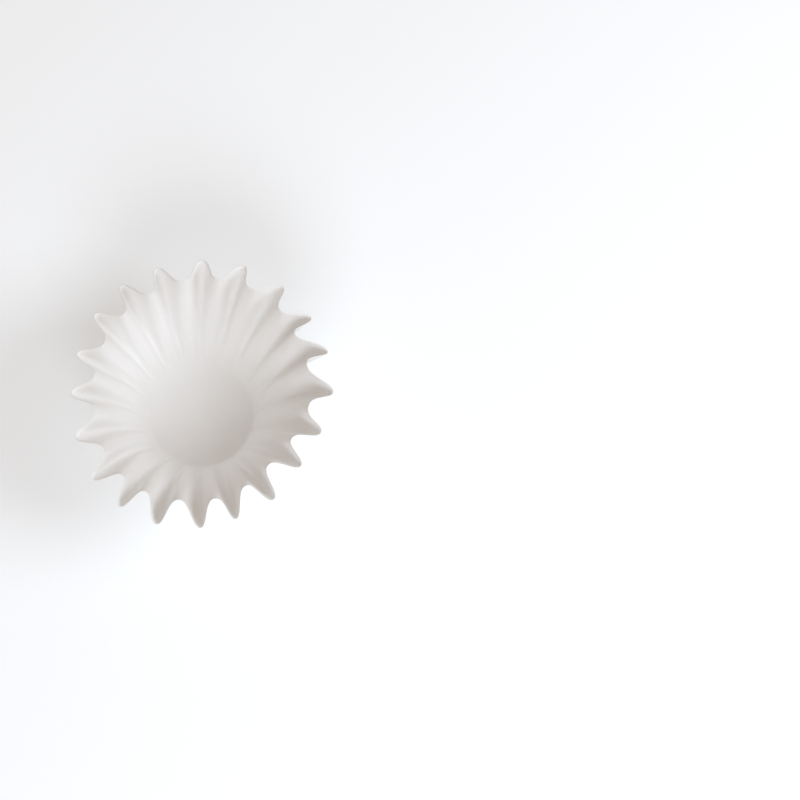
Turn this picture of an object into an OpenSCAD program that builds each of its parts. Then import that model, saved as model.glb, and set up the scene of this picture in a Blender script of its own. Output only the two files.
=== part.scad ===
// Fluted flat-bottomed coffee filter, pressed from one round sheet of creped filter paper.
//
// The sheet isn't stretched when it is pressed, so every circle drawn on the flat sheet keeps its length.
// The base stays flat. Past it the wall stands up, each circle is too long for the cone that it now lies on,
// and the spare length is taken up by the flutes. Their depth therefore isn't chosen: it follows from the
// size of the cut sheet, the size of the base and the lean of the wall, and is solved for row by row.
//
// Frame: the axis is Z, the base rests on Z = 0, and one flute's outer crest lies on +X.

/* [Paper] */
// Diameter of the round sheet before it is pressed
cut_d = 185; // [170:1:240]
// Thickness of the paper
paper_t = 0.2; // [0.15:0.01:0.4]

/* [Base] */
// Diameter of the base, to the corner where base and wall would meet if the bend were sharp
base_d = 52; // [40:1:64]
// Radius of the bend from base to wall, at the middle of the paper
bend_r = 2.5; // [1.5:0.1:5]

/* [Wall] */
// Lean of the wall away from upright, in degrees
wall_lean = 26; // [20:0.5:34]

/* [Flutes] */
// Number of flutes round the wall
flutes = 20; // [16:1:24]
// Fullness of the wave, in degrees: a higher value gives rounder crests and steeper flanks
wave_fullness = 55; // [20:1:70]
// Bias of the wave, in degrees: below 0 the outer crests are tight and the inner folds are wide
wave_bias = -20; // [-30:0.5:15]

/* [Fineness] */
// Points round each flute
flute_points = 14; // [10:2:16]
// Rows of points in the bend
bend_rows = 2; // [2:1:4]
// Rows of points up the wall
wall_rows = 6; // [5:1:8]

/* [Hidden] */

paper_colour = [0.95, 0.94, 0.92];
cut_r = cut_d / 2;
// Slope of the wall from the base plane, in degrees
wall_slope = 90 - wall_lean;
radian = 180 / PI;
// Radius at which the base stops being flat
flat_r = base_d / 2 - bend_r * tan(wall_slope / 2);
// Length of paper in the bend, and from the flat base to the cut edge
bend_len = bend_r * wall_slope / radian;
reach = cut_r - flat_r;
// Columns of points round the whole wall
columns = round(flutes * flute_points);
// Rows crowd towards the base, where the flutes grow fastest
row_crowding = 1.6;
// Samples for the length of one wave, halvings for its depth, and the step for its growth, in millimetres
wave_samples = 36;
depth_halvings = 24;
growth_step = 0.2;
// The steepest wave that the solver looks at, as depth times flutes over radius
steepest = 6;

// Mean line of the wall: slope, radius and height at distance u along the paper from the flat base's edge
function slope_at(u) = u < bend_len ? wall_slope * u / bend_len : wall_slope;
function bend_at(u) = u < bend_len ? 1 / bend_r : 0;
function mean_radius(u) =
    flat_r + bend_r * sin(slope_at(u)) + max(0, u - bend_len) * cos(wall_slope);
function mean_height(u) =
    bend_r * (1 - cos(slope_at(u))) + max(0, u - bend_len) * sin(wall_slope);

// One wave, from 1 at the outer crest to -1 at the inner fold, and its rate of change per radian
function wave(a) = sin(wave_fullness * cos(a - wave_bias * sin(a))) / sin(wave_fullness);
function wave_rate(a) =
    let (b = a - wave_bias * sin(a))
    -cos(wave_fullness * cos(b)) / sin(wave_fullness)
    * (wave_fullness / radian) * sin(b) * (1 - wave_bias / radian * cos(a));

// Length of a waved circle over the length of the plain one
function sum(values, i = 0, total = 0) =
    i == len(values) ? total : sum(values, i + 1, total + values[i]);
wave_rates = [for (i = [0:wave_samples - 1]) wave_rate((i + 0.5) * 360 / wave_samples)];
function length_ratio(steepness) =
    sum([for (rate = wave_rates) sqrt(1 + pow(steepness * rate, 2))]) / len(wave_rates);

// Steepness of the wave that takes up a given ratio, by halving the interval that holds it
function steepness_for(ratio, low = 0, high = steepest, left = depth_halvings) =
    let (middle = (low + high) / 2)
    left < 1 ? middle
    : length_ratio(middle) < ratio ? steepness_for(ratio, middle, high, left - 1)
    : steepness_for(ratio, low, middle, left - 1);

// Depth of the flutes, from the mean line to the crest, at distance u
function flute_depth(u) =
    u <= 0 ? 0
    : let (radius = mean_radius(u)) steepness_for((flat_r + u) / radius) * radius / flutes;

// A row holds what is the same all round the filter at one distance u
function row_at(u) = [
    mean_radius(u), mean_height(u), slope_at(u), bend_at(u), flute_depth(u),
    (flute_depth(u + growth_step) - flute_depth(u - growth_step)) / (2 * growth_step)
];
row_distances = concat(
    [0],
    [for (i = [1:bend_rows]) bend_len * i / bend_rows],
    [for (i = [1:wall_rows]) bend_len + (reach - bend_len) * pow(i / wall_rows, row_crowding)]
);
rows = [for (u = row_distances) row_at(u)];
last_row = len(rows) - 1;

// A point of the paper at angle a, side away from its middle surface: half the paper either way
function paper_point(row, a, side) =
    let (
        radius = row[0], height = row[1], slope = row[2], bend = row[3], depth = row[4],
        growth = row[5],
        w = wave(a * flutes),
        turn = depth * wave_rate(a * flutes) * flutes,
        r = radius + depth * w * sin(slope),
        z = height - depth * w * cos(slope),
        // Ways along the paper, round the filter and up the wall, as [outward, round, up]
        round = [turn * sin(slope), r, -turn * cos(slope)],
        up = [
            cos(slope) + growth * w * sin(slope) + depth * w * cos(slope) * bend,
            0,
            sin(slope) - growth * w * cos(slope) + depth * w * sin(slope) * bend
        ],
        across = cross(round, up),
        out = across / norm(across) * side,
        outward = r + out[0],
        along = out[1]
    )
    [
        outward * cos(a) - along * sin(a),
        outward * sin(a) + along * cos(a),
        z + out[2] + paper_t / 2
    ];

function skin(side) = [
    for (row = rows) for (c = [0:columns - 1]) paper_point(row, c * 360 / columns, side)
];

// Two triangles for each cell between two rings of points that start at a and b
function band(a, b) = [
    for (c = [0:columns - 1])
        let (d = (c + 1) % columns)
        each [[a + c, b + c, b + d], [a + c, b + d, a + d]]
];
function ring(start, backwards = false) = [
    for (c = [0:columns - 1]) start + (backwards ? columns - 1 - c : c)
];

module filter_paper() {
    skin_points = (last_row + 1) * columns;
    outer_start = 0;
    inner_start = skin_points;
    color(paper_colour)
    polyhedron(
        points = concat(skin(paper_t / 2), skin(-paper_t / 2)),
        faces = concat(
            // Underside of the base and outside of the wall
            [ring(outer_start)],
            [for (i = [0:last_row - 1])
                each band(outer_start + i * columns, outer_start + (i + 1) * columns)],
            // Cut edge
            band(outer_start + last_row * columns, inner_start + last_row * columns),
            // Inside of the wall and of the base
            [for (i = [0:last_row - 1])
                each band(inner_start + (i + 1) * columns, inner_start + i * columns)],
            [ring(inner_start, backwards = true)]
        ),
        convexity = 12
    );
}

filter_paper();
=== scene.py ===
"""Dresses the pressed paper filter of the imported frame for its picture.

The filter is one round sheet of creped paper. It is built here as one thin closed shell: a flat base, a bend
that has opened out on one side, and a wall whose flutes take up the spare length of the sheet's circles.
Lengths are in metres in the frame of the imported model, with the base on Z = 0, unless a comment says
otherwise. Sizes that are angles are held in degrees, and arrays of angles are in radians.
"""

from __future__ import annotations

import logging
import math
from dataclasses import dataclass, field
from enum import Enum
from functools import cached_property

import bpy
import numpy as np
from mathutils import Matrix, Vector

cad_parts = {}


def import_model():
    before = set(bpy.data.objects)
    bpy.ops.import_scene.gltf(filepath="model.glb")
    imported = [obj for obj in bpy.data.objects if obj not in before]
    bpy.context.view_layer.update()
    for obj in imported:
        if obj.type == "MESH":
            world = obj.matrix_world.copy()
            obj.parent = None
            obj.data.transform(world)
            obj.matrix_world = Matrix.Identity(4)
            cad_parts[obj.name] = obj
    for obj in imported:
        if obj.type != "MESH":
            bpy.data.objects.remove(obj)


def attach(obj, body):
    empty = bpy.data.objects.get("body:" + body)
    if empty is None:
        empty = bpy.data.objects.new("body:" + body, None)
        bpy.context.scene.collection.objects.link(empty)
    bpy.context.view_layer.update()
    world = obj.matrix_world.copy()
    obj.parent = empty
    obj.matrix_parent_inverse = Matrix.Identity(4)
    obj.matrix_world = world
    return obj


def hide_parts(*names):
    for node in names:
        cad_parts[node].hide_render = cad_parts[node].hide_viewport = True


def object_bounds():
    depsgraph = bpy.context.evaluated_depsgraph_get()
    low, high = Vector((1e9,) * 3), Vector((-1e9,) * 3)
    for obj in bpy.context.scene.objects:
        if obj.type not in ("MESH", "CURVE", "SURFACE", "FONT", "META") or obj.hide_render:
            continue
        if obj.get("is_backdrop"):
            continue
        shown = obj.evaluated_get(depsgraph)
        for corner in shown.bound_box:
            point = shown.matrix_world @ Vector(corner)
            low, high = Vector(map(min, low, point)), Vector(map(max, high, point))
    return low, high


log = logging.getLogger("paper_filter")

MM = 0.001
FULL_TURN = 2 * math.pi

Colour = tuple[float, float, float]


class Side(Enum):
    """The two faces of the paper, as the way from its middle surface."""

    OUTSIDE = 1
    INSIDE = -1


class LampRole(Enum):
    """What each lamp of the studio is for, which is also its name."""

    FRONT = "front_softbox"
    SIDE = "side_softbox"


class Signal:
    """A shader value. Its operators add Math nodes to the tree that it comes from."""

    def __init__(self, bench: NodeBench, socket: bpy.types.NodeSocket) -> None:
        """Wraps an output socket of the bench's tree."""
        self.bench = bench
        self.socket = socket

    def maths(self, operation: str, first: Signal | float, second: Signal | float = 0.0) -> Signal:
        """Returns the result of a new Math node. Some operations don't read the second value."""
        return self.bench.add("ShaderNodeMath", {"operation": operation}, {0: first, 1: second})

    def __add__(self, other: Signal | float) -> Signal:
        """Returns self + other."""
        return self.maths("ADD", self, other)

    def __radd__(self, other: float) -> Signal:
        """Returns other + self."""
        return self.maths("ADD", other, self)

    def __sub__(self, other: Signal | float) -> Signal:
        """Returns self - other."""
        return self.maths("SUBTRACT", self, other)

    def __rsub__(self, other: float) -> Signal:
        """Returns other - self."""
        return self.maths("SUBTRACT", other, self)

    def __mul__(self, other: Signal | float) -> Signal:
        """Returns self * other."""
        return self.maths("MULTIPLY", self, other)

    def __rmul__(self, other: float) -> Signal:
        """Returns other * self."""
        return self.maths("MULTIPLY", other, self)

    def __abs__(self) -> Signal:
        """Returns the size of self without its sign."""
        return self.maths("ABSOLUTE", self)

    def at_least(self, floor: float) -> Signal:
        """Returns self, or floor where self is lower."""
        return self.maths("MAXIMUM", self, floor)


class NodeBench:
    """Adds nodes to the tree of one new material."""

    # Places of a Mix node's colour sockets, whose names its other sockets share
    MIX_SHARE = 0
    MIX_FIRST = 6
    MIX_SECOND = 7
    MIX_RESULT = 2
    # The value that a noise lies round
    NOISE_MIDDLE = 0.5

    def __init__(self, name: str) -> None:
        """Makes the material and empties its tree.

        Args:
            name: The material's name.
        """
        self.material = bpy.data.materials.new(name)
        self.material.use_nodes = True
        self.tree = self.material.node_tree
        self.tree.nodes.clear()

    def add(
        self,
        kind: str,
        settings: dict[str, object] | None = None,
        inputs: dict[str | int, object] | None = None,
        output: str | int = 0,
    ) -> Signal:
        """Adds a node, sets it up and joins it.

        Args:
            kind: The node's type.
            settings: The node's own properties, which are set first.
            inputs: Values or signals for its sockets, by name or place.
            output: The output socket to hand back.

        Returns:
            That output as a signal. An output node has none, and hands back its first input instead.
        """
        node = self.tree.nodes.new(kind)
        for name, value in (settings or {}).items():
            setattr(node, name, value)
        for name, value in (inputs or {}).items():
            if isinstance(value, Signal):
                self.tree.links.new(value.socket, node.inputs[name])
            else:
                node.inputs[name].default_value = value
        return Signal(self, node.outputs[output] if node.outputs else node.inputs[0])

    def noise(self, place: Signal, scale: float, detail: float, roughness: float = 0.5) -> Signal:
        """Returns a noise of so many lumps for each unit of place, with finer layers on them."""
        values = {"Vector": place, "Scale": scale, "Detail": detail, "Roughness": roughness}
        return self.add("ShaderNodeTexNoise", {"noise_dimensions": "3D"}, values)

    def streaks(
        self,
        place: Signal,
        angle: float,
        size: tuple[float, float],
        detail: float,
        roughness: float = 0.5,
    ) -> Signal:
        """Adds a noise whose lumps are drawn out along one way.

        Args:
            place: The place on the flat sheet.
            angle: The way, as a turn about the sheet's own axis in degrees.
            size: The lumps' length along that way and their width across it, in units of place.
            detail: How many finer layers lie on the first.
            roughness: How strong those layers are.

        Returns:
            The noise.
        """
        values = {"Vector": place, "Rotation": (0.0, 0.0, math.radians(angle)), "Scale": (*size, 1.0)}
        along = self.add("ShaderNodeMapping", {"vector_type": "TEXTURE"}, values)
        return self.noise(along, 1.0, detail, roughness)

    def blend(self, share: Signal, first: Colour, second: Colour) -> Signal:
        """Returns the first colour where the share is 0, and the second where it is 1."""
        values = {self.MIX_SHARE: share, self.MIX_FIRST: (*first, 1.0), self.MIX_SECOND: (*second, 1.0)}
        return self.add("ShaderNodeMix", {"data_type": "RGBA"}, values, output=self.MIX_RESULT)

    def finished(self, surface: Signal) -> bpy.types.Material:
        """Joins a surface to the material's output, and returns the material."""
        self.add("ShaderNodeOutputMaterial", {}, {"Surface": surface})
        return self.material


@dataclass(frozen=True)
class PaperFinish:
    """Creped, bleached filter paper: matt, uneven when light comes through it, and full of fibres.

    Its patterns are read on the flat sheet, in millimetres, so they bend with the paper and aren't
    stretched by the flutes.
    """

    name: str = "creped_filter_paper"
    # Colours of the paper where it is thick and thin, and of the light that comes through it
    thick: Colour = (0.94, 0.935, 0.925)
    thin: Colour = (0.93, 0.922, 0.91)
    through: Colour = (0.96, 0.95, 0.93)
    # Share of the light that comes through, and how much that changes with the clouds
    light_through: float = 0.12
    light_through_spread: float = 0.09
    roughness: float = 0.9
    roughness_spread: float = 0.08
    shine: float = 0.25
    sheen: float = 0.06
    sheen_roughness: float = 0.6
    # Clouds and specks: lumps for each millimetre, their finer layers, and how strong those are
    cloud_scale: float = 0.16
    cloud_detail: float = 4.0
    cloud_roughness: float = 0.6
    speck_scale: float = 0.9
    speck_detail: float = 2.0
    # Ridges of the creping: length and width in millimetres, the way that they run, and finer layers
    crepe_size: tuple[float, float] = (3.2, 0.62)
    crepe_angle: float = 24.0
    crepe_detail: float = 3.0
    crepe_roughness: float = 0.55
    # Fibres: the same, with the ways of their layers, and how thin they are drawn
    fibre_size: tuple[float, float] = (2.6, 0.20)
    fibre_angles: tuple[float, ...] = (-38.0, 12.0, 71.0)
    fibre_detail: float = 1.0
    fibre_thinness: float = 22.0
    # The relief's depth, how strongly it shows, and what each pattern adds to it
    relief: float = 0.05 * MM
    relief_strength: float = 0.55
    crepe_relief: float = 0.8
    speck_relief: float = 0.25
    fibre_relief: float = 0.3
    # What each pattern adds to the tone, from thin to thick
    cloud_tone: float = 0.7
    speck_tone: float = 0.2
    fibre_tone: float = 0.35

    def fibres(self, bench: NodeBench, place: Signal) -> Signal:
        """Draws fine fibres that lie across one another.

        Args:
            bench: The material's bench.
            place: The place on the flat sheet.

        Returns:
            1 along the middle of a fibre, 0 away from all of them.
        """
        laid = None
        for angle in self.fibre_angles:
            wander = bench.streaks(place, angle, self.fibre_size, self.fibre_detail)
            line = (1 - abs(wander - bench.NOISE_MIDDLE) * self.fibre_thinness).at_least(0.0)
            laid = line if laid is None else laid + line
        return laid * (1 / len(self.fibre_angles))

    def make(self) -> bpy.types.Material:
        """Makes the material.

        Returns:
            The paper, ready for a mesh that carries its place on the flat sheet.
        """
        bench = NodeBench(self.name)
        place = bench.add("ShaderNodeAttribute", {"attribute_name": Shell.SHEET_PLACE}, output="Vector")
        clouds = bench.noise(place, self.cloud_scale, self.cloud_detail, self.cloud_roughness)
        specks = bench.noise(place, self.speck_scale, self.speck_detail)
        fibres = self.fibres(bench, place)
        crepe = bench.streaks(
            place, self.crepe_angle, self.crepe_size, self.crepe_detail, self.crepe_roughness
        )
        height = crepe * self.crepe_relief + specks * self.speck_relief + fibres * self.fibre_relief
        bump_values = {"Strength": self.relief_strength, "Distance": self.relief, "Height": height}
        bump = bench.add("ShaderNodeBump", {}, bump_values)
        tone = clouds * self.cloud_tone + specks * self.speck_tone + fibres * self.fibre_tone
        rough = self.roughness + (specks - bench.NOISE_MIDDLE) * self.roughness_spread
        paper_values = {
            "Base Color": bench.blend(tone, self.thin, self.thick),
            "Roughness": rough,
            "Specular IOR Level": self.shine,
            "Sheen Weight": self.sheen,
            "Sheen Roughness": self.sheen_roughness,
            "Normal": bump,
        }
        paper = bench.add("ShaderNodeBsdfPrincipled", {}, paper_values)
        glow = bench.add("ShaderNodeBsdfTranslucent", {}, {"Color": (*self.through, 1.0), "Normal": bump})
        share = self.light_through + (bench.NOISE_MIDDLE - clouds) * self.light_through_spread
        return bench.finished(bench.add("ShaderNodeMixShader", {}, {0: share, 1: paper, 2: glow}))


@dataclass(frozen=True)
class FloorFinish:
    """The plain pale floor, which glows a little, as a light table does."""

    name: str = "pale_floor"
    colour: Colour = (0.90, 0.93, 0.95)
    roughness: float = 0.9
    shine: float = 0.1
    glow: Colour = (0.96, 0.98, 1.0)
    glow_strength: float = 0.14

    def make(self) -> bpy.types.Material:
        """Makes the material.

        Returns:
            The floor's material.
        """
        bench = NodeBench(self.name)
        values = {
            "Base Color": (*self.colour, 1.0),
            "Roughness": self.roughness,
            "Specular IOR Level": self.shine,
            "Emission Color": (*self.glow, 1.0),
            "Emission Strength": self.glow_strength,
        }
        return bench.finished(bench.add("ShaderNodeBsdfPrincipled", {}, values))


@dataclass(frozen=True)
class Wave:
    """The form of one flute at one height, from 1 at its outer crest to -1 at its inner fold.

    A bias above 0 makes the crests wider and the folds tighter, and one below 0 the other way about. A
    higher fullness, up to 90, makes both flatter and the flanks steeper.
    """

    fullness: float
    bias: float
    # Samples over one flute, and the steepest wave that is tried, as depth times flutes over radius
    samples: int = 720
    steepest: float = 6.0

    def height(self, phase: np.ndarray) -> np.ndarray:
        """Returns the wave at a phase in radians."""
        full, bias = math.radians(self.fullness), math.radians(self.bias)
        return np.sin(full * np.cos(phase - bias * np.sin(phase))) / math.sin(full)

    @cached_property
    def phases(self) -> np.ndarray:
        """Phases over one flute, ends included."""
        return np.linspace(0.0, FULL_TURN, self.samples + 1)

    @cached_property
    def rates(self) -> np.ndarray:
        """The wave's change per radian between neighbouring phases."""
        return np.diff(self.height(self.phases)) / np.diff(self.phases)

    def steepness_for(self, ratio: float) -> float:
        """Finds the steepness that makes a waved circle longer by a ratio.

        Args:
            ratio: Length of the waved circle over that of the plain one.

        Returns:
            The steepness, as depth times flutes over radius.
        """
        tries = np.linspace(0.0, self.steepest, self.samples)
        lengths = np.sqrt(1 + (tries[:, None] * self.rates) ** 2).mean(axis=1)
        return float(np.interp(ratio, lengths, tries))

    def phases_at(self, steepness: float, share: np.ndarray) -> np.ndarray:
        """Finds the phases that cut one flute into equal lengths of paper.

        Args:
            steepness: The wave's steepness at this row.
            share: Shares of the flute's length of paper, 0 to 1.

        Returns:
            The phase at each share.
        """
        steps = np.sqrt(1 + (steepness * self.rates) ** 2)
        run = np.concatenate([[0.0], np.cumsum(steps)])
        return np.interp(share, run / run[-1], self.phases)


@dataclass(frozen=True)
class Flute:
    """How the flutes change from the bend to the rim.

    Low down their folds are wide and flat, with tight creases, and at the rim they are rounder. Low down the
    creping takes up a part of the spare length too, so the flutes there are shallower than the length of the
    paper alone would make them. They open to their full depth at the rim.
    """

    low_fullness: float = 78.0
    rim_fullness: float = 62.0
    low_bias: float = -30.0
    rim_bias: float = -15.0
    # Share of the full depth at the bend, and how late the rest comes
    low_depth: float = 0.64
    lateness: float = 3.0

    def wave(self, climb: float) -> Wave:
        """Returns the wave at a share of the way up the wall."""
        fullness = self.low_fullness + (self.rim_fullness - self.low_fullness) * climb
        return Wave(fullness, self.low_bias + (self.rim_bias - self.low_bias) * climb)

    def depth_share(self, climb: np.ndarray) -> np.ndarray:
        """Returns how much of its full depth the wave has at each share of the way up the wall."""
        return self.low_depth + (1 - self.low_depth) * climb**self.lateness


@dataclass(frozen=True)
class Profile:
    """The mean line of the sheet: a flat base, a bend and a straight wall.

    Distances along the paper start at the edge of the flat base, and are negative on the base.
    """

    cut_radius: float = 92.5 * MM
    base_diameter: float = 52 * MM
    bend_radius: float = 2.5 * MM
    wall_lean: float = 26.0

    def on_sheet(self, sheet_radius: np.ndarray) -> np.ndarray:
        """Returns the distances along the paper of circles that are drawn on the flat sheet."""
        return sheet_radius - self.flat_radius

    @property
    def wall_slope(self) -> float:
        """The wall's slope from the base plane, in radians."""
        return math.radians(90 - self.wall_lean)

    @property
    def flat_radius(self) -> float:
        """The radius at which the base stops being flat."""
        return self.base_diameter / 2 - self.bend_radius * math.tan(self.wall_slope / 2)

    @property
    def bend_length(self) -> float:
        """The length of paper in the bend."""
        return self.bend_radius * self.wall_slope

    @property
    def reach(self) -> float:
        """The length of paper from the flat base to the cut edge."""
        return self.cut_radius - self.flat_radius

    def slope(self, distance: np.ndarray) -> np.ndarray:
        """Returns the slope at each distance, in radians."""
        return self.wall_slope * np.clip(distance / self.bend_length, 0.0, 1.0)

    def radius(self, distance: np.ndarray) -> np.ndarray:
        """Works out how far the mean line is from the axis.

        Args:
            distance: Distances along the paper.

        Returns:
            The mean radius at each distance.
        """
        wall = np.maximum(0.0, distance - self.bend_length) * math.cos(self.wall_slope)
        base = np.minimum(0.0, distance)
        return self.flat_radius + base + self.bend_radius * np.sin(self.slope(distance)) + wall

    def height(self, distance: np.ndarray) -> np.ndarray:
        """Returns the mean height at each distance."""
        wall = np.maximum(0.0, distance - self.bend_length) * math.sin(self.wall_slope)
        return self.bend_radius * (1 - np.cos(self.slope(distance))) + wall


@dataclass(frozen=True)
class Stretch:
    """A part of the way round the filter, strongest at one azimuth and gone at a spread to each side."""

    azimuth: float
    spread: float

    def share(self, azimuth: np.ndarray) -> np.ndarray:
        """Returns how much of it acts at each azimuth in radians, 0 to 1."""
        away = (np.degrees(azimuth) - self.azimuth + 180.0) % 360.0 - 180.0
        return np.cos(np.clip(away / self.spread, -1.0, 1.0) * math.pi / 2) ** 2


@dataclass(frozen=True)
class Handling(Stretch):
    """A stretch of the wall that has been eased off its regular place.

    Pushes are along the wall's normal, outward if positive. Turns are in degrees, counter-clockwise from
    above if positive. Both reach their full size at the cut edge.
    """

    crest_push: float = 0.0
    fold_push: float = 0.0
    crest_turn: float = 0.0
    fold_turn: float = 0.0

    @property
    def sizes(self) -> np.ndarray:
        """Its pushes and then its turns, each for the crests and then for the folds."""
        return np.array([self.crest_push, self.fold_push, self.crest_turn, self.fold_turn])


@dataclass(frozen=True)
class SoftSide(Stretch):
    """A side of the filter where the bend has opened out into a broad curve."""

    profile: Profile


@dataclass
class Shell:
    """The arrays of the closed shell while it is being built."""

    SHEET_PLACE = "sheet_place"
    BAKE_MAP = "OFBake"

    points: list[np.ndarray] = field(default_factory=list)
    places: list[np.ndarray] = field(default_factory=list)
    faces: list[tuple[int, ...]] = field(default_factory=list)
    count: int = 0

    def add_points(self, points: np.ndarray, places: np.ndarray) -> np.ndarray:
        """Adds points.

        Args:
            points: Their places in space, in rows of any shape that ends in 3.
            places: Their places on the flat sheet in millimetres, in the same rows.

        Returns:
            Their numbers, in the same rows.
        """
        numbers = self.count + np.arange(points[..., 0].size).reshape(points.shape[:-1])
        self.points.append(points.reshape(-1, 3))
        self.places.append(places.reshape(-1, 3))
        self.count += numbers.size
        return numbers

    def add_faces(self, corners: tuple[np.ndarray, ...], side: Side) -> None:
        """Adds one face for each place in the rows of corners, turned to look out of its side."""
        turned = np.stack(corners, axis=1)[:, :: side.value]
        self.faces += [tuple(face) for face in turned.tolist()]

    def add_band(self, low: np.ndarray, high: np.ndarray, side: Side) -> None:
        """Joins a ring to one of as many points, farther from the centre of the sheet, with quads."""
        self.add_faces((low, np.roll(low, -1), np.roll(high, -1), high), side)

    def add_doubling(self, low: np.ndarray, high: np.ndarray, side: Side) -> None:
        """Joins a ring to one of twice as many points, with three triangles for each of its own.

        Args:
            low: The ring of fewer points, nearer the centre.
            high: The ring of more points.
            side: The side of the paper that the triangles lie on.
        """
        near, here = high[::2], high[1::2]
        after = np.roll(near, -1)
        ahead = np.roll(low, -1)
        for corners in ((low, here, near), (low, ahead, here), (ahead, after, here)):
            self.add_faces(corners, side)

    def add_centre(self, ring: np.ndarray, centre: int, side: Side) -> None:
        """Closes the smallest ring with triangles to the point at its centre."""
        self.add_faces((np.full_like(ring, centre), np.roll(ring, -1), ring), side)


def placed(name: str, data: bpy.types.ID) -> bpy.types.Object:
    """Makes an object and puts it in the scene.

    Args:
        name: The object's name.
        data: Its mesh, lamp or camera.

    Returns:
        The object.
    """
    thing = bpy.data.objects.new(name, data)
    bpy.context.scene.collection.objects.link(thing)
    return thing


@dataclass(frozen=True)
class PressedSheet:
    """The filter itself: one sheet of paper, pressed, and a little uneven from its pressing and handling."""

    name: str = "pressed_filter_sheet"
    node: str = "filter_paper"
    body: str = "root"
    slot: str = "paper"
    finish: PaperFinish = PaperFinish()
    thickness: float = 0.2 * MM
    profile: Profile = Profile()
    soft_side: SoftSide = SoftSide(114, 126, Profile(base_diameter=50.6 * MM, bend_radius=13 * MM))
    flutes: int = 20
    flute: Flute = Flute()
    # Columns of points across one flute, and rows at the base's edge, round the bend and up the wall
    columns_per_flute: int = 32
    base_rows: int = 3
    base_row_pitch: float = 0.55 * MM
    bend_rows: int = 6
    wall_rows: int = 57
    row_crowding: float = 1.25
    # Rings of points that fill the rest of the base
    ring_pitch: float = 1.5 * MM
    fewest_rings: int = 2
    fewest_columns: int = 20
    # Each flute's own errors of place and turn, as standard sizes
    seed: int = 7
    crest_unevenness: float = 0.45 * MM
    fold_unevenness: float = 0.55 * MM
    turn_unevenness: float = 0.55
    # Long, shallow waves that cross the flanks: their height and number, and how many lie round and up
    buckle: float = 0.09 * MM
    buckles: int = 9
    buckles_round: tuple[int, int] = (9, 47)
    buckles_up: tuple[float, float] = (0.4, 2.6)
    # How late errors, buckles and handling grow on the way up the wall
    growth: float = 1.35
    # The middle of the wall stands aside: which way, how far and how low down
    bow_azimuth: float = 124.0
    bow: float = 2.0 * MM
    bow_lowness: float = 0.8
    # Room round the sheet on the bake map, and how much wider than the sheet the ring of its cut edge is
    bake_margin: float = 1.02
    bake_edge: float = 1.01
    # Where the rim has been eased off its place: azimuth and spread in degrees, then pushes and turns
    handlings: tuple[Handling, ...] = (
        Handling(18, 34, fold_push=-1.8 * MM, crest_turn=0.6, fold_turn=5.4),
        Handling(66, 60, crest_push=2.0 * MM, fold_push=1.6 * MM, crest_turn=-1.0, fold_turn=1.4),
        Handling(102, 36, crest_turn=1.4),
        Handling(140, 40, fold_push=-2.2 * MM),
        Handling(176, 44, crest_push=-3.0 * MM, fold_push=-3.0 * MM),
        Handling(207, 36, crest_turn=3.2, fold_turn=5.2),
        Handling(238, 52, crest_push=3.6 * MM, fold_push=2.0 * MM),
        Handling(264, 44, fold_push=-1.6 * MM, crest_turn=-0.6, fold_turn=-2.6),
        Handling(290, 24, crest_turn=-1.8),
        Handling(314, 17, fold_turn=-1.6),
        Handling(320, 48, crest_push=0.4 * MM, fold_push=-6.4 * MM, crest_turn=-4.0, fold_turn=-6.0),
        Handling(328, 40, crest_push=-4.2 * MM, fold_push=0.4 * MM, crest_turn=2.0, fold_turn=3.4),
    )

    def distances(self) -> np.ndarray:
        """Spaces the rows of points, which crowd towards the bend.

        Returns:
            The rows' distances along the paper, from the outer part of the base to the cut edge.
        """
        bend, reach = self.profile.bend_length, self.profile.reach
        base = -self.base_row_pitch * np.arange(self.base_rows, 0, -1)
        curve = np.linspace(0.0, bend, self.bend_rows + 1)
        steps = np.arange(1, self.wall_rows + 1) / self.wall_rows
        return np.concatenate([base, curve, bend + (reach - bend) * steps**self.row_crowding])

    @property
    def columns(self) -> int:
        """The number of columns of points round the sheet."""
        return self.flutes * self.columns_per_flute

    def shares(self) -> np.ndarray:
        """Returns the columns' shares of the way round the sheet."""
        return np.arange(self.columns) / self.columns

    def climb(self, distance: np.ndarray) -> np.ndarray:
        """Returns the share of the way up the wall at each distance, 0 on the base."""
        return np.clip(distance / self.profile.reach, 0.0, 1.0)

    def waves(self, distance: np.ndarray) -> tuple[np.ndarray, np.ndarray, np.ndarray]:
        """Shapes the flutes row by row, so that each row has the length of its circle on the flat sheet.

        Args:
            distance: The rows' distances along the paper.

        Returns:
            The steepness of each row, and the wave and the azimuth in rows and columns.
        """
        ratios = np.maximum(1.0, (self.profile.flat_radius + distance) / self.profile.radius(distance))
        waves = [self.flute.wave(climb) for climb in self.climb(distance)]
        steepness = [wave.steepness_for(ratio) for wave, ratio in zip(waves, ratios)]
        flute, column = np.divmod(np.arange(self.columns), self.columns_per_flute)
        within = column / self.columns_per_flute
        phase = np.stack([wave.phases_at(steep, within) for wave, steep in zip(waves, steepness)])
        heights = np.stack([wave.height(row) for wave, row in zip(waves, phase)])
        return np.array(steepness)[:, None], heights, (phase + FULL_TURN * flute) / self.flutes

    def flute_wander(self, spread: float, draw: np.random.Generator, azimuth: np.ndarray) -> np.ndarray:
        """Gives each flute its own small error and eases from one to the next.

        Args:
            spread: The standard size of the error.
            draw: The source of the random numbers.
            azimuth: Where the error is wanted, in radians.

        Returns:
            The error at each azimuth.
        """
        errors = draw.normal(0.0, spread, self.flutes)
        at = azimuth / FULL_TURN * self.flutes
        here = np.floor(at).astype(int)
        ease = 0.5 - 0.5 * np.cos((at - here) * math.pi)
        return errors[here % self.flutes] * (1 - ease) + errors[(here + 1) % self.flutes] * ease

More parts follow.
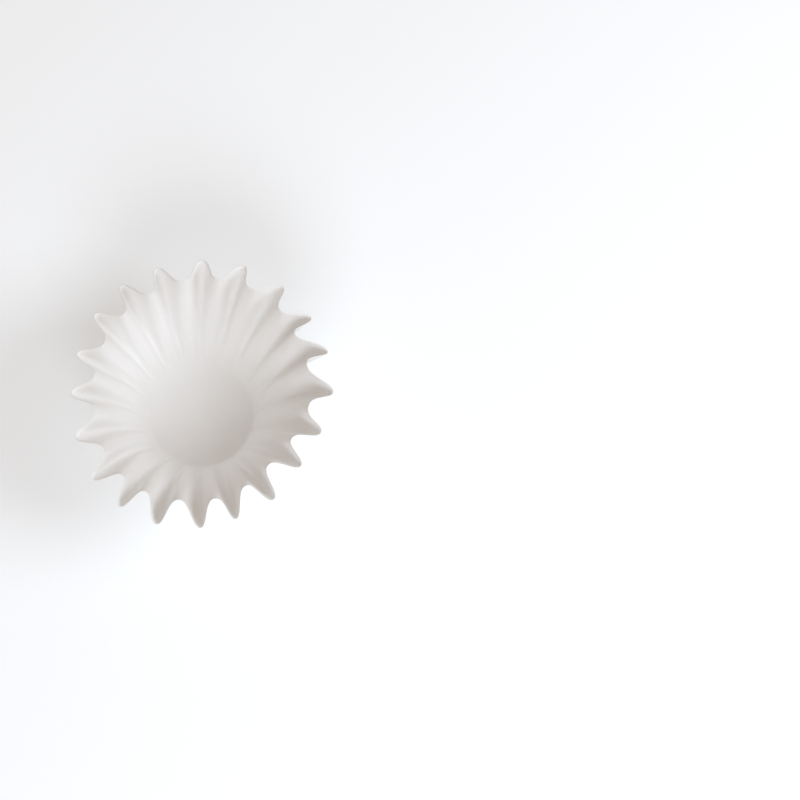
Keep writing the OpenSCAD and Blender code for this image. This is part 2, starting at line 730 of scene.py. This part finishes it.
    def easing(self, draw: np.random.Generator, azimuth: np.ndarray) -> np.ndarray:
        """Adds the handling to each flute's own errors.

        Args:
            draw: The source of the random numbers.
            azimuth: The azimuth of each point, in radians.

        Returns:
            The same four sizes as a handling has, at each point.
        """
        crest_push = self.flute_wander(self.crest_unevenness, draw, azimuth)
        fold_push = self.flute_wander(self.fold_unevenness, draw, azimuth)
        turn = self.flute_wander(self.turn_unevenness, draw, azimuth)
        eased = np.stack([crest_push, fold_push, turn, turn])
        for handling in self.handlings:
            eased += handling.sizes[:, None, None] * handling.share(azimuth)
        return eased

    def buckling(self, draw: np.random.Generator, azimuth: np.ndarray, climb: np.ndarray) -> np.ndarray:
        """Adds up a few long, shallow waves that cross the flanks.

        Args:
            draw: The source of the random numbers.
            azimuth: The azimuth of each point, in radians.
            climb: The share of the way up the wall.

        Returns:
            The height of the buckles, along the wall's normal.
        """
        total = np.zeros_like(azimuth)
        for _ in range(self.buckles):
            round_count = draw.integers(*self.buckles_round)
            up_count = draw.uniform(*self.buckles_up)
            start = draw.uniform(0.0, FULL_TURN)
            total += np.sin(round_count * azimuth + FULL_TURN * up_count * climb + start)
        return total * self.buckle / math.sqrt(self.buckles)

    def mean_line(self, distance: np.ndarray, azimuth: np.ndarray) -> tuple[np.ndarray, ...]:
        """Works out the sheet as it would be without its flutes.

        Args:
            distance: Distances along the paper from the edge of the flat base.
            azimuth: Azimuths in radians, which may be rows and columns.

        Returns:
            The slope, radius and height at each point.
        """
        sharp, soft = self.profile, self.soft_side.profile
        soft_distance = soft.on_sheet(sharp.flat_radius + distance)
        share = self.soft_side.share(azimuth)
        slope = sharp.slope(distance) * (1 - share) + soft.slope(soft_distance) * share
        radius = sharp.radius(distance) * (1 - share) + soft.radius(soft_distance) * share
        height = sharp.height(distance) * (1 - share) + soft.height(soft_distance) * share
        return slope, radius, height + self.thickness / 2

    def middle(self) -> np.ndarray:
        """Works out the middle surface of the paper outside the inner part of the base.

        Returns:
            Points in rows up the wall and columns round it.
        """
        draw = np.random.default_rng(self.seed)
        distance = self.distances()
        climb = self.climb(distance)[:, None]
        steepness, wave, azimuth = self.waves(distance)
        slope, radius, height = self.mean_line(distance[:, None], azimuth)
        crest_push, fold_push, crest_turn, fold_turn = self.easing(draw, azimuth)
        crest, fold = (1 + wave) / 2, (1 - wave) / 2
        push = crest_push * crest + fold_push * fold + self.buckling(draw, azimuth, climb)
        turn = np.radians(crest_turn * crest + fold_turn * fold)
        depth = steepness * radius / self.flutes * self.flute.depth_share(climb)
        lift = depth * wave + push * climb**self.growth
        out = radius + lift * np.sin(slope)
        up = height - lift * np.cos(slope)
        turned = azimuth + turn * climb**self.growth
        aside = np.sin(math.pi * climb**self.bow_lowness) * self.bow
        way = math.radians(self.bow_azimuth)
        x = out * np.cos(turned) + aside * math.cos(way)
        y = out * np.sin(turned) + aside * math.sin(way)
        return np.stack([x, y, up], axis=-1)

    @staticmethod
    def outward(middle: np.ndarray) -> np.ndarray:
        """Finds the way out of the paper, on its outer side.

        Args:
            middle: The middle surface.

        Returns:
            A unit vector for each of its points.
        """
        round_way = np.roll(middle, -1, axis=1) - np.roll(middle, 1, axis=1)
        up_way = np.gradient(middle, axis=0)
        across = np.cross(round_way, up_way)
        return across / np.linalg.norm(across, axis=-1, keepdims=True)

    def sheet_place(self, distance: np.ndarray, share: np.ndarray, side: Side) -> np.ndarray:
        """Gives points their places on the flat sheet.

        Args:
            distance: Distances along the paper from the edge of the flat base.
            share: Shares of the way round.
            side: The side of the paper.

        Returns:
            Places in millimetres, in rows and columns.
        """
        radius = (self.profile.flat_radius + distance)[:, None] / MM
        turn = FULL_TURN * share
        depth = side.value * self.thickness / 2 / MM
        x, y = radius * np.cos(turn), radius * np.sin(turn)
        return np.stack([x, y, np.full_like(x, depth)], axis=-1)

    def add_base(self, shell: Shell, ring: np.ndarray, side: Side) -> None:
        """Fills the inner part of the base with rings of fewer and fewer points.

        Args:
            shell: The shell that takes the points and faces.
            ring: The innermost ring that is already there.
            side: The side of the paper.
        """
        edge = self.profile.flat_radius + self.distances()[0]
        rings = max(self.fewest_rings, round(edge / self.ring_pitch))
        half = side.value * self.thickness / 2
        for i in range(1, rings):
            radius = edge * (1 - i / rings)
            columns = len(ring)
            crowded = FULL_TURN * radius / columns < self.ring_pitch / 2
            halved = crowded and columns % 2 == 0 and columns // 2 >= self.fewest_columns
            columns = columns // 2 if halved else columns
            share = np.arange(columns) / columns
            turn = FULL_TURN * share
            distance = np.array([radius - self.profile.flat_radius])
            slope, out, height = self.mean_line(distance, turn)
            out, height = out + half * np.sin(slope), height - half * np.cos(slope)
            points = np.stack([out * np.cos(turn), out * np.sin(turn), height], axis=-1)
            inner = shell.add_points(points, self.sheet_place(distance, share, side)[0])
            join = shell.add_doubling if halved else shell.add_band
            join(inner, ring, side)
            ring = inner
        middle = np.array([[0.0, 0.0, self.thickness / 2 - half]])
        place = self.sheet_place(np.array([-self.profile.flat_radius]), np.zeros(1), side)[0]
        centre = shell.add_points(middle, place)
        shell.add_centre(ring, int(centre[0]), side)

    def shell(self) -> tuple[Shell, int]:
        """Builds both sides of the paper and its cut edge.

        Returns:
            The closed shell, and how many of its faces, the last ones, lie on the cut edge.
        """
        shell = Shell()
        middle = self.middle()
        outward = self.outward(middle)
        rims = {}
        for side in Side:
            skin = middle + outward * side.value * self.thickness / 2
            places = self.sheet_place(self.distances(), self.shares(), side)
            rows = shell.add_points(skin, places)
            for low, high in zip(rows, rows[1:]):
                shell.add_band(low, high, side)
            self.add_base(shell, rows[0], side)
            rims[side] = rows[-1]
        before = len(shell.faces)
        shell.add_band(rims[Side.OUTSIDE], rims[Side.INSIDE], Side.OUTSIDE)
        return shell, len(shell.faces) - before

    def bake_places(self, places: np.ndarray, corners: np.ndarray, edge_corners: int) -> np.ndarray:
        """Lays both sides of the sheet out flat as two discs in opposite corners of the unit square.

        Args:
            places: Every point's place on the flat sheet, in millimetres.
            corners: The point at each corner of each face.
            edge_corners: How many of those corners, the last ones, belong to the cut edge.

        Returns:
            The place of each corner in the square.
        """
        disc_radius = 1 - 1 / math.sqrt(2)
        scale = disc_radius / (self.profile.cut_radius / MM * self.bake_margin)
        outside = places[:, 2] > 0
        middle = np.where(outside, disc_radius, 1 - disc_radius)[:, None]
        flat = places[:, :2] * scale
        at = (middle + flat)[corners]
        edge = corners[-edge_corners:]
        widening = np.where(outside[edge], 1.0, self.bake_edge)[:, None]
        at[-edge_corners:] = disc_radius + flat[edge] * widening
        return at

    def build(self) -> None:
        """Makes the piece, dresses it and lets it ride on its body in place of the plain solid."""
        shell, edge_faces = self.shell()
        points, places = np.concatenate(shell.points), np.concatenate(shell.places)
        mesh = bpy.data.meshes.new(self.name)
        mesh.from_pydata(points.tolist(), [], shell.faces)
        smooth = np.ones(len(mesh.polygons), dtype=bool)
        smooth[-edge_faces:] = False
        mesh.polygons.foreach_set("use_smooth", smooth)
        layer = mesh.attributes.new(Shell.SHEET_PLACE, "FLOAT_VECTOR", "POINT")
        layer.data.foreach_set("vector", places.astype(np.float32).ravel())
        corners = np.empty(len(mesh.loops), dtype=np.int32)
        mesh.loops.foreach_get("vertex_index", corners)
        bake_map = mesh.uv_layers.new(name=Shell.BAKE_MAP)
        spots = self.bake_places(places, corners, 4 * edge_faces)
        bake_map.uv.foreach_set("vector", spots.astype(np.float32).ravel())
        mesh.update()
        mesh.materials.append(self.finish.make())
        piece = placed(self.name, mesh)
        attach(piece, self.body)
        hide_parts(self.node)
        log.info("%s: %d points, %d faces", self.name, len(mesh.vertices), len(mesh.polygons))


@dataclass(frozen=True)
class Lamp:
    """One soft round lamp that looks at the filter."""

    role: LampRole
    azimuth: float
    power: float
    elevation: float = 43.0
    distance: float = 1.1
    size: float = 0.62
    colour: Colour = (0.81, 0.885, 0.98)

    def build(self, target: Vector) -> None:
        """Makes the lamp.

        Args:
            target: The point that it looks at.
        """
        light = bpy.data.lights.new(self.role.value, "AREA")
        light.shape = "DISK"
        light.size = self.size
        light.energy = self.power
        light.color = self.colour
        lamp = placed(self.role.value, light)
        turn, rise = math.radians(self.azimuth), math.radians(self.elevation)
        way = Vector((math.cos(turn) * math.cos(rise), math.sin(turn) * math.cos(rise), math.sin(rise)))
        lamp.location = target + way * self.distance
        lamp.rotation_mode = "QUATERNION"
        lamp.rotation_quaternion = (-way).to_track_quat("-Z", "Y")
        log.info("%s: %.1f W", self.role.value, self.power)


@dataclass(frozen=True)
class Studio:
    """The pale floor, the soft lamps and the white surroundings."""

    floor_finish: FloorFinish = FloorFinish()
    floor_side: float = 12.0
    floor_gap: float = 0.05 * MM
    surround: Colour = (1.0, 0.875, 0.775)
    surround_strength: float = 0.47
    diffuse_bounces: int = 14
    through_bounces: int = 14
    all_bounces: int = 24
    lamps: tuple[Lamp, ...] = (
        Lamp(LampRole.FRONT, azimuth=-90, power=4.6),
        Lamp(LampRole.SIDE, azimuth=0, power=5.35),
    )

    def build_floor(self) -> None:
        """Makes the floor and marks it as no part of the object."""
        half = self.floor_side / 2
        corners = [(-half, -half, 0.0), (half, -half, 0.0), (half, half, 0.0), (-half, half, 0.0)]
        mesh = bpy.data.meshes.new("floor")
        mesh.from_pydata(corners, [], [(0, 1, 2, 3)])
        mesh.materials.append(self.floor_finish.make())
        floor = placed("floor", mesh)
        floor.location.z = -self.floor_gap
        floor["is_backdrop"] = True
        log.info("floor: %.0f m", self.floor_side)

    def build_surround(self) -> None:
        """Makes the world an even, warm white."""
        world = bpy.data.worlds.new("white_surround")
        world.use_nodes = True
        background = world.node_tree.nodes["Background"]
        background.inputs["Color"].default_value = (*self.surround, 1.0)
        background.inputs["Strength"].default_value = self.surround_strength
        bpy.context.scene.world = world

    def build(self, target: Vector) -> None:
        """Makes the whole studio.

        Args:
            target: The point that the lamps look at.
        """
        self.build_floor()
        self.build_surround()
        for lamp in self.lamps:
            lamp.build(target)
        scene = bpy.context.scene
        scene.view_settings.view_transform = "Standard"
        scene.view_settings.look = "None"
        scene.cycles.max_bounces = self.all_bounces
        scene.cycles.diffuse_bounces = self.diffuse_bounces
        scene.cycles.transmission_bounces = self.through_bounces


@dataclass(frozen=True)
class PhotographCamera:
    """The camera of the photograph: far above the filter, a little in front of it, and turned aside."""

    distance: float = 0.9
    tilt: float = 10.0
    # The picture's side, the focal length and the middle of the base, in pixels of the photograph
    image_side: float = 800.0
    focal_pixels: float = 1864.0
    base_pixel: tuple[float, float] = (201.3, 414.7)
    # The sensor's width in millimetres
    sensor: float = 36.0
    # How many times nearer and farther than the filter things are still seen
    seen_range: float = 100.0

    def build(self) -> None:
        """Makes the camera, turned so that the middle of the base falls on its pixel."""
        tilt = math.radians(self.tilt)
        back = Vector((0.0, -math.sin(tilt), math.cos(tilt)))
        straight = (-back).to_track_quat("-Z", "Y")
        middle = self.image_side / 2
        spot = Vector((self.base_pixel[0] - middle, middle - self.base_pixel[1], -self.focal_pixels))
        aside = Vector((0.0, 0.0, -1.0)).rotation_difference(spot.normalized())
        data = bpy.data.cameras.new("camera")
        data.sensor_width = self.sensor
        data.lens = self.focal_pixels / self.image_side * self.sensor
        data.clip_start = self.distance / self.seen_range
        data.clip_end = self.distance * self.seen_range
        camera = placed("camera", data)
        camera.rotation_mode = "QUATERNION"
        camera.rotation_quaternion = straight @ aside.inverted()
        camera.location = back * self.distance
        bpy.context.scene.camera = camera
        log.info("camera: lens %.1f mm", data.lens)


def main() -> None:
    """Loads the frame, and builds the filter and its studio."""
    logging.basicConfig(level=logging.INFO, format="%(name)s: %(message)s")
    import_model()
    cad_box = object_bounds()
    PressedSheet().build()
    centre = (cad_box[0] + cad_box[1]) / 2
    Studio().build(centre)
    PhotographCamera().build()
    bpy.context.view_layer.update()


if __name__ == "__main__":
    main()
